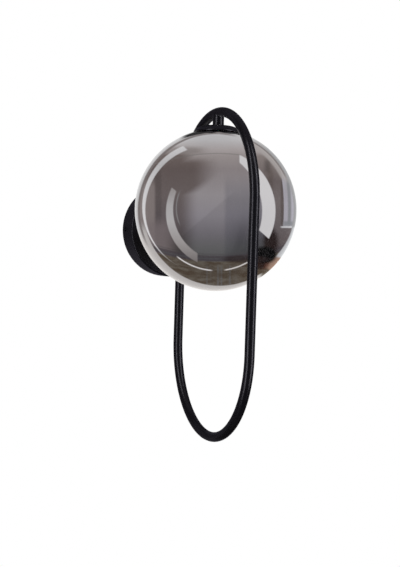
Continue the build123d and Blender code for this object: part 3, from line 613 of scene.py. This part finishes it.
# %% Plastics, ceramic and rubber
finish("white_plastic", ((0.78, 0.78, 0.76), (0.84, 0.84, 0.82)), rough=(0.38, 0.50),
       grain_scale=1400.0, depth=6 * MICRON, Subsurface_Weight=0.08, Subsurface_Scale=2 * MM)
finish("white_ceramic", ((0.76, 0.75, 0.71), (0.84, 0.83, 0.79)), rough=(0.30, 0.46),
       grain_scale=700.0, depth=10 * MICRON, spots=220.0, Coat_Weight=0.35, Coat_Roughness=0.12)
finish("clear_silicone", ((0.66, 0.66, 0.64), (0.74, 0.74, 0.72)), rough=(0.36, 0.46),
       grain_scale=900.0, depth=6 * MICRON, Subsurface_Weight=0.25, Subsurface_Scale=3 * MM)
finish("frosted_envelope", ((0.84, 0.84, 0.82), (0.90, 0.90, 0.88)), rough=(0.34, 0.42),
       grain_scale=2200.0, depth=4 * MICRON, Subsurface_Weight=0.30, Subsurface_Scale=4 * MM)
finish("led_carrier", ((0.80, 0.80, 0.77), (0.86, 0.86, 0.83)), rough=(0.42, 0.52),
       grain_scale=1500.0, depth=4 * MICRON)
print(len(finishes), "finishes")

# %% [markdown]
# The wires' coat is glossy plastic. The earth lead is green and has a yellow stripe along it, which starts
# where its skin is higher than a quarter of a millimetre.

# %% Insulation of the wires
insulation = dict(rough=(0.30, 0.42), grain_scale=1200.0, depth=8 * MICRON)
finish("brown_insulation", ((0.16, 0.070, 0.036), (0.21, 0.094, 0.050)), **insulation)
finish("blue_insulation", ((0.040, 0.14, 0.40), (0.056, 0.18, 0.47)), **insulation)
tree, shader = finish("earth_insulation", ((0.10, 0.30, 0.055), (0.14, 0.38, 0.08)), **insulation)[1:]
place = node(tree, "ShaderNodeTexCoord").outputs["Object"]
height_up = node(tree, "ShaderNodeSeparateXYZ", {0: place}).outputs["Z"]
stripe = rise(tree, height_up, 0.25 * MM, 0.32 * MM)
green = shader.inputs["Base Color"].links[0].from_socket
tree.links.new(mix(tree, stripe, green, (0.78, 0.62, 0.04, 1)), shader.inputs["Base Color"])
print(len(finishes), "finishes")

# %% [markdown]
# The globe's glass has a smoke tint and a thin metal layer, so it is half mirror and half glass. Metallic
# and Transmission Weight are plain values: the first share of the light is mirrored, the rest goes through.
# The layer is thinner in soft clouds, which shows only as a slight change of tint. It is polished so well
# that its roughness is next to nothing.

# %% Smoked glass
finish("smoked_glass", ((0.432, 0.423, 0.432), (0.470, 0.460, 0.470)), rough=(0.001, 0.003),
       depth=0, spots=9.0, Metallic=0.82, Transmission_Weight=1.0, IOR=1.5)
print("smoked glass ready")

# %% [markdown]
# The record names a slot for each CAD node, and each finish has its slot's name, so dressing the frame is
# one loop. Pieces that replace a node take the same finish.

# %% Dress the CAD nodes
slot_of = {part["node"]: part["material_slot"] for part in frame["record"]["subparts"]}
for name, part in nodes.items():
    part.data.materials.clear()
    part.data.materials.append(finishes[slot_of[name]])
print(len(slot_of), "nodes dressed")

# %% [markdown]
# The photograph's globe shows no image of the ring that goes round it, so the ring is kept out of mirrors.
# The wires inside the ring go with it, because they would show in its place.

# %% Keep the ring out of the mirror
outside_glass = ("ring_tube", "globe_stem", "live_wire", "neutral_wire")
for name in outside_glass:
    nodes[name].visible_glossy = False
print("not mirrored:", outside_glass)

# %% [markdown]
# ## Tools for round pieces
# Most pieces here are turned: a globe, nipples, screws, washers. `outline` draws half a cross-section from
# a few corners, any of which may be rounded by the bevel operator, and `turn` spins it once round. Pieces
# are made standing on the origin and then put in place, so their mesh holds the place and the object none.

# %% Draw, spin and place a cross-section
def outline(bm, corners, closed=True):
    """Wire of a cross-section. A corner is (radius, height) or (radius, height, rounding)."""
    points = [bm.verts.new((corner[0], 0, corner[1])) for corner in corners]
    for first, second in zip(points, points[1:] + points[:1] if closed else points[1:]):
        bm.edges.new((first, second))
    for point, corner in zip(points, corners):
        if len(corner) > 2:
            bmesh.ops.bevel(bm, geom=[point], offset=corner[2], segments=5, profile=0.5, affect="VERTICES",
                            material=-1)


def turn(bm, steps=64):
    """Spins the wire round the upright axis, closes the poles and faces everything outwards."""
    bmesh.ops.spin(bm, geom=bm.verts[:] + bm.edges[:], cent=(0, 0, 0), axis=(0, 0, 1), angle=tau, steps=steps,
                   use_merge=True)
    bmesh.ops.remove_doubles(bm, verts=bm.verts, dist=1e-6)
    bmesh.ops.recalc_face_normals(bm, faces=bm.faces)


def stand(bm, foot, along=(0, 0, 1)):
    """Moves what was made on the origin to its foot, with its upright axis turned along a direction."""
    turned = Vector((0, 0, 1)).rotation_difference(Vector(along)).to_matrix().to_4x4()
    bmesh.ops.transform(bm, matrix=Matrix.Translation(foot) @ turned, verts=bm.verts)


print("cross-sections can be turned")

# %% [markdown]
# Every finished piece needs the same few things: soft shading with crisp edges, the finish of its node's
# slot, and a body of the frame that it rides on when a joint moves.

# %% Finish a piece
def keep(made, bm, body, stands_for, smooth_to=35.0):
    """Finishes a piece: smooth faces with crisp edges, a body to ride on, and its node's place and finish."""
    for face in bm.faces:
        face.smooth = True
    for edge in bm.edges:
        edge.smooth = len(edge.link_faces) == 2 and edge.calc_face_angle(0) < radians(smooth_to)
    bm.to_mesh(made.data)
    bm.free()
    name = slot_of[stands_for]
    made.data.materials.append(finishes[name])
    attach(made, body)
    print(made.name, len(made.data.polygons), "faces")


print("pieces can be finished")

# %% [markdown]
# A thread is a closed V ridge that winds up a rod: a small triangle is spun and rises a little at every
# step. The ridge starts just under the rod's skin, so that no gap shows at its foot.

# %% Wind a thread
def wind(bm, foot_radius, crest_radius, start, wide, turns, pitch, steps):
    """Winds a triangle up the origin's axis. `steps` is the number of steps in one turn."""
    corners = ((foot_radius, 0, start), (crest_radius, 0, start + wide / 2), (foot_radius, 0, start + wide))
    triangle = bm.faces.new([bm.verts.new(corner) for corner in corners])
    bmesh.ops.spin(bm, geom=[triangle], cent=(0, 0, 0), axis=(0, 0, 1), dvec=(0, 0, pitch / steps),
                   angle=tau * turns, steps=round(turns * steps))
    bmesh.ops.recalc_face_normals(bm, faces=bm.faces)


def thread(bm, radius, start, end, pitch, depth):
    """An outer thread on a rod, from one height to another."""
    wind(bm, radius - 0.25 * depth, radius + depth, start, wide=pitch * 0.9,
         turns=(end - start) / pitch - 1, pitch=pitch, steps=24)


print("threads can be wound")

# %% [markdown]
# ## The globe
# Blown glass is turned here from its cross-section: the outer wall, the neck that the collar holds, and the
# inner wall. The two long arcs are spun from a single point, and the neck's edges join them.

# %% Draw the globe's cross-section
neck_inner, neck_outer = 18.0 * MM, 20.5 * MM
wall = 2.5 * MM
rim = glass_high.z - globe_centre.z
globe, bm = new_piece("globe_glass")


def wall_arc(radius, neck, steps):
    """Arc of a wall, from the lowest point up to the neck."""
    low_point = bm.verts.new((0, 0, -radius))
    angle = pi - asin(neck / radius)
    bmesh.ops.spin(bm, geom=[low_point], cent=(0, 0, 0), axis=(0, 1, 0), angle=-angle, steps=steps)


def nearest(x, z):
    return min(bm.verts, key=lambda v: (v.co - Vector((x, 0, z))).length)


wall_arc(globe_radius, neck_outer, 150)
wall_arc(globe_radius - wall, neck_inner, 80)
shoulder = nearest(neck_outer, sqrt(globe_radius**2 - neck_outer**2))
inside = nearest(neck_inner, sqrt((globe_radius - wall)**2 - neck_inner**2))
lip = [bm.verts.new((neck_outer, 0, rim)), bm.verts.new((neck_inner, 0, rim))]
for pair in ((shoulder, lip[0]), lip, (lip[1], inside)):
    bm.edges.new(pair)
bmesh.ops.bevel(bm, geom=lip, offset=0.6 * MM, segments=4, profile=0.5, affect="VERTICES", material=-1)
bmesh.ops.bevel(bm, geom=[shoulder], offset=0.5 * MM, segments=4, profile=0.5, affect="VERTICES", material=-1)
print("cross-section", len(bm.verts), "points")

# %% [markdown]
# Where the glass was drawn in to the neck it is faintly scalloped, and the mirror turns that into a wavy
# line under the cap. Three waves of different length keep it from looking regular.

# %% Spin the globe and scallop it under the cap
scallop_start, scallop_end, scallop_depth = 28 * MM, 43 * MM, 0.11 * MM
turn(bm, 192)
for v in bm.verts:
    reach = v.co.xy.length
    on_top = v.co.z > 80 * MM and v.co.length > globe_radius - 1 * MM
    if on_top and scallop_start < reach < scallop_end:
        window = sin(pi * (reach - scallop_start) / (scallop_end - scallop_start))**2
        around = v.co.xy.angle_signed(Vector((1, 0)))
        wave = cos(13 * around) + 0.6 * cos(7 * around + 1.1) + 0.5 * cos(19 * around + 0.4)
        v.co.z += scallop_depth * window * wave
print("walls", len(bm.verts), "points")

# %% [markdown]
# The neck has a coarse thread on its inside, three millimetres to the turn, which the collar's thread runs
# in. It is the same ridge as a screw's, wound on the wall's inner side.

# %% Thread the neck and set the globe in place
def take_in(bm, shape):
    """Adds a finished shape to another."""
    carried = bpy.data.meshes.new("carried")
    shape.to_mesh(carried)
    shape.free()
    bm.from_mesh(carried)
    bpy.data.meshes.remove(carried)


glass_thread = bmesh.new()
wind(glass_thread, foot_radius=neck_inner + 0.1 * MM, crest_radius=neck_inner - 0.22 * MM,
     start=rim - 6.0 * MM, wide=1.2 * MM, turns=1.5, pitch=3.0 * MM, steps=64)
take_in(bm, glass_thread)
stand(bm, globe_centre)
keep(globe, bm, "globe", "glass_globe", smooth_to=60.0)
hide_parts("glass_globe")

# %% [markdown]
# ## The cap
# The cap is a shallow spun dome. Its edge is rolled a little, and that edge picks up a thin light line from
# the glass below, so the cap is turned again here with rounded corners. Its two arcs share one centre.

# %% Spin the cap
cap_low, cap_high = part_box("globe_cap")
cap, bm = new_piece("cap_dome")
flat, edge, skin = 12.0 * MM, cap_high.x, 1.0 * MM
skirt_top = cap_low.z + 1.2 * MM
drop = cap_high.z - skirt_top
arch = ((edge - flat)**2 + drop**2) / (2 * drop)
arch_centre = Vector((flat, 0, cap_high.z - arch))


def dome_arc(radius, reach):
    """Half dome: a point over the arc's centre, spun outwards to a distance from the cap's axis."""
    top = bm.verts.new(arch_centre + Vector((0, 0, radius)))
    angle = asin((reach - flat) / radius)
    end = bmesh.ops.spin(bm, geom=[top], cent=arch_centre, axis=(0, 1, 0), angle=angle, steps=24)["geom_last"]
    return top, next(item for item in end if isinstance(item, bmesh.types.BMVert))


top, shoulder = dome_arc(arch, edge)
under_top, under_shoulder = dome_arc(arch - skin, edge - skin)
hole = [bm.verts.new((5.3 * MM, 0, z)) for z in (cap_high.z, cap_high.z - skin)]
brim = [bm.verts.new((x, 0, cap_low.z)) for x in (edge, edge - skin)]
for pair in ((hole[0], top), (shoulder, brim[0]), brim, (brim[1], under_shoulder),
             (under_top, hole[1]), hole):
    bm.edges.new(pair)
bmesh.ops.bevel(bm, geom=brim, offset=0.42 * MM, segments=5, profile=0.5, affect="VERTICES", material=-1)
turn(bm, 128)
bmesh.ops.translate(bm, verts=bm.verts, vec=(0, globe_centre.y, 0))
keep(cap, bm, "root", "globe_cap", smooth_to=50.0)
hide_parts("globe_cap")

# %% [markdown]
# ## Screws
# A screw's recess is stamped, as it is when the head is upset: planes slice the flat top, and the faces
# inside the cross or slot are pushed down.

# %% Stamp a recess
def push_in(bm, chosen, depth, taper=0.8):
    """Pushes some faces down, tapering, and drops the faces that stay behind."""
    pushed = bmesh.ops.extrude_face_region(bm, geom=chosen)["geom"]
    moved = [item for item in pushed if isinstance(item, bmesh.types.BMVert)]
    bmesh.ops.delete(bm, geom=chosen, context="FACES")
    bmesh.ops.translate(bm, verts=moved, vec=(0, 0, -depth))
    bmesh.ops.scale(bm, verts=moved, vec=(taper, taper, 1))


def stamp(bm, top, boxes, depth):
    """Stamps a recess made of upright boxes, each given by its half sizes, into the flat at a height."""
    for wide, long in boxes:
        for normal, reach in (((1, 0, 0), wide), ((0, 1, 0), long)):
            for sign in (-1, 1):
                flat = [face for face in bm.faces if face.calc_center_median().z > top - 1e-6]
                lines = {item for face in flat for item in (*face.edges, *face.verts)}
                bmesh.ops.bisect_plane(bm, geom=flat + list(lines), dist=1e-8, plane_no=normal,
                                       plane_co=Vector(normal) * reach * sign)
    chosen = []
    for face in bm.faces:
        middle = face.calc_center_median()
        inside = any(abs(middle.x) < wide and abs(middle.y) < long for wide, long in boxes)
        if middle.z > top - 1e-6 and inside:
            chosen.append(face)
    push_in(bm, chosen, depth)


print("recesses can be stamped")

# %% [markdown]
# A screw is turned in one piece, with the seat of its pan head on the origin, and its thread is wound up the
# shank as on a real rolled one. A screw without a head is a grub screw, whose flat end lies on the origin.

# %% Turn a screw
head_tall = 1.6 * MM


def screw(foot, along, head, shank, length, recess="cross", pitch=0.7 * MM):
    """A screw whose head rests at `foot`, with its head's top facing along a direction."""
    bm = bmesh.new()
    root = shank - 0.5 * pitch
    if head:
        top, size, deep, slot = head_tall, head, 0.9 * MM, 0.26
        crown = [(0, top), (head / 2, top, 0.9 * MM), (head / 2, 0, 0.12 * MM), (root / 2, 0)]
    else:
        top, size, deep, slot = 0.0, shank, 0.7 * MM, 0.36
        crown = [(0, top), (root / 2, top, 0.15 * MM)]
    outline(bm, crown + [(root / 2, -length, 0.3 * MM), (0, -length)], closed=False)
    turn(bm, 48)
    arm = (0.07 * size, 0.24 * size) if recess == "cross" else (0.085 * size, slot * size)
    stamp(bm, top, [arm, arm[::-1]] if recess == "cross" else [arm], deep)
    thread(bm, root / 2, 0.3 * MM - length, -0.1 * MM, pitch, 0.25 * pitch)
    stand(bm, foot, along)
    return bm


def gather(name, stands_for, shapes):
    """Joins shapes into one piece that replaces a CAD node of the fixed body."""
    made, bm = new_piece(name)
    for shape in shapes:
        take_in(bm, shape)
    keep(made, bm, "root", stands_for)
    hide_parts(stands_for)


print("screws can be turned")

# %% [markdown]
# Each screw takes its place from its node's box. The side screws hold the canopy on its bracket, the next two
# hold the terminal block and the earth lug, and the small ones clamp wires and hold the lampholder.

# %% Put the screws in
side_low, side_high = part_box("canopy_screws")
side_y = (side_low.y + side_high.y) / 2
seat = side_high.x - head_tall
gather("side_screws", "canopy_screws",
       [screw((sign * seat, side_y, 0), (sign, 0, 0), head=6.4 * MM, shank=4.0 * MM, length=8.5 * MM)
        for sign in (-1, 1)])
block_low, block_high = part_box("block_screw")
gather("block_fixing", "block_screw",
       [screw(((block_low.x + block_high.x) / 2, block_low.y + head_tall, 0), (0, -1, 0),
              head=4.6 * MM, shank=2.5 * MM, length=9.9 * MM, pitch=0.45 * MM)])
earth_low, earth_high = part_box("earth_screw")
gather("earth_stud", "earth_screw",
       [screw(((earth_low.x + earth_high.x) / 2, earth_low.y + head_tall, 0), (0, -1, 0),
              head=7.0 * MM, shank=4.0 * MM, length=3.0 * MM, recess="slot")])
clamp_low, clamp_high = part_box("clamp_screws")
clamp_radius = 1.3 * MM
gather("clamp_grubs", "clamp_screws",
       [screw((x, clamp_low.y, z), (0, -1, 0), head=0, shank=2 * clamp_radius, length=4.6 * MM,
              recess="slot", pitch=0.45 * MM)
        for x in (clamp_low.x + clamp_radius, clamp_high.x - clamp_radius)
        for z in (clamp_low.z + clamp_radius, clamp_high.z - clamp_radius)])
holder_low, holder_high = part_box("lampholder_screws")
holder_head = 5.4 * MM
gather("holder_fixings", "lampholder_screws",
       [screw((0, y, holder_low.z + head_tall), (0, 0, -1), head=holder_head, shank=3.0 * MM,
              length=6.2 * MM, pitch=0.5 * MM)
        for y in (holder_low.y + holder_head / 2, holder_high.y - holder_head / 2)])

# %% [markdown]
# ## Nipples, nuts and washers
# The hollow nipples have a fine thread of one millimetre. A real nut is turned and then milled: here a
# chamfered ring is cut by six planes, which leaves the arcs that a nut shows at the top of each flat.

# %% Turn nipples and mill nuts
def nipple(foot, along, length):
    """A threaded tube with chamfered ends."""
    bore, root = 4.0 * MM, 4.45 * MM
    bm = bmesh.new()
    outline(bm, [(bore, 0, 0.1 * MM), (root, 0, 0.25 * MM), (root, length, 0.25 * MM),
                 (bore, length, 0.1 * MM)])
    turn(bm, 64)
    thread(bm, root, 0.3 * MM, length - 0.2 * MM, 1.0 * MM, 0.55 * MM)
    stand(bm, foot, along)
    return bm


def hex_nut(foot, along, turned_by):
    """A nut three millimetres thick and 14 across its flats."""
    half_width = 7.0 * MM
    corner = half_width / cos(pi / 6)
    bm = bmesh.new()
    outline(bm, [(5.4 * MM, 0), (6.7 * MM, 0), (corner, 0.75 * MM), (corner, 2.25 * MM), (6.7 * MM, 3.0 * MM),
                 (5.4 * MM, 3.0 * MM), (5.05 * MM, 2.65 * MM), (5.05 * MM, 0.35 * MM)])
    turn(bm, 72)
    for flat in range(6):
        angle = turned_by + flat * pi / 3
        normal = Vector((cos(angle), sin(angle), 0))
        everything = bm.verts[:] + bm.edges[:] + bm.faces[:]
        cut = bmesh.ops.bisect_plane(bm, geom=everything, dist=1e-8, plane_co=normal * half_width,
                                     plane_no=normal, clear_outer=True)["geom_cut"]
        edges = [item for item in cut if isinstance(item, bmesh.types.BMEdge)]
        bmesh.ops.holes_fill(bm, edges=edges, sides=0)
    stand(bm, foot, along)
    return bm


print("nipples and nuts can be made")

# %% [markdown]
# A lock washer's rim is cut into teeth that are bent up and down in turn.

# %% Cut a lock washer
def lock_washer(foot, along, inner, outer):
    """A ring half as thick as its CAD solid, whose teeth take up the rest."""
    bm = bmesh.new()
    root = inner + 0.55 * (outer - inner)
    low, top = 0.2 * MM, 0.6 * MM
    outline(bm, [(inner, low), (root, low), (outer, low), (outer, top), (root, top), (inner, top)])
    turn(bm, 48)
    for v in bm.verts:
        if v.co.xy.length > outer - 0.01 * MM:
            tooth = round(v.co.xy.angle_signed(Vector((1, 0))) / tau * 48) % 4
            v.co.z += (0.2, 0.2, -0.2, -0.2)[tooth] * MM
    stand(bm, foot, along)
    return bm


print("washers can be cut")

# %% [markdown]
# Nipples, nuts and washers are put where their nodes' boxes start, the canopy's along Y and the stem's up Z.

# %% Put nipples, nuts and washers in
def foot_of(name):
    """Where a node's box starts on the canopy's axis, or else on the stem's."""
    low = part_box(name)[0]
    return (0, low.y, 0) if name.startswith("canopy") else (0, globe_centre.y, low.z)


to_wall, up = (0, 1, 0), (0, 0, 1)
low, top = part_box("canopy_nipple")
gather("canopy_nipple_cut", "canopy_nipple", [nipple((0, top.y, 0), (0, -1, 0), top.y - low.y)])
low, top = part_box("stem_nipple")
gather("stem_nipple_cut", "stem_nipple", [nipple(foot_of("stem_nipple"), up, top.z - low.z)])
gather("canopy_nut_milled", "canopy_nut", [hex_nut(foot_of("canopy_nut"), to_wall, turned_by=0)])
gather("stem_nut_milled", "stem_nut", [hex_nut(foot_of("stem_nut"), up, turned_by=pi / 6)])
nipple_ring = dict(inner=5.3 * MM, outer=8.0 * MM)
gather("canopy_lock_washer", "canopy_washer",
       [lock_washer(foot_of("canopy_washer"), to_wall, **nipple_ring)])
gather("stem_lock_washer", "stem_washer", [lock_washer(foot_of("stem_washer"), up, **nipple_ring)])
low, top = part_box("earth_washer")
gather("earth_lock_washer", "earth_washer",
       [lock_washer(((low.x + top.x) / 2, low.y, 0), to_wall, inner=2.15 * MM, outer=4.0 * MM)])

# %% [markdown]
# ## Linking the lamps
# Each lamp gets a list of the things that it lights. The two softboxes light every solid piece but not the
# glass. The one behind lights only what isn't painted, which is the plated and moulded inside.

# %% Link the lamps
lamps = [softbox("softbox_right", bearing=60.0, half_width=7.0, low=-0.9, tall=2.6, brightness=3.7),
         softbox("softbox_left", bearing=-43.0, half_width=7.0, low=-0.9, tall=2.6, brightness=3.7),
         softbox("softbox_wall", bearing=200.0, half_width=24.0, low=-0.7, tall=1.6, brightness=0.9)]
lit = bpy.data.collections.new("lit_by_softboxes")
unpainted = bpy.data.collections.new("lit_from_behind")
for piece in scene.objects:
    if piece.type == "MESH" and piece not in (globe, nodes["glass_globe"]):
        lit.objects.link(piece)
        if piece.data.materials[0] is not finishes["black_paint"]:
            unpainted.objects.link(piece)
for lamp, pieces in zip(lamps, (lit, lit, unpainted)):
    lamp.light_linking.receiver_collection = pieces
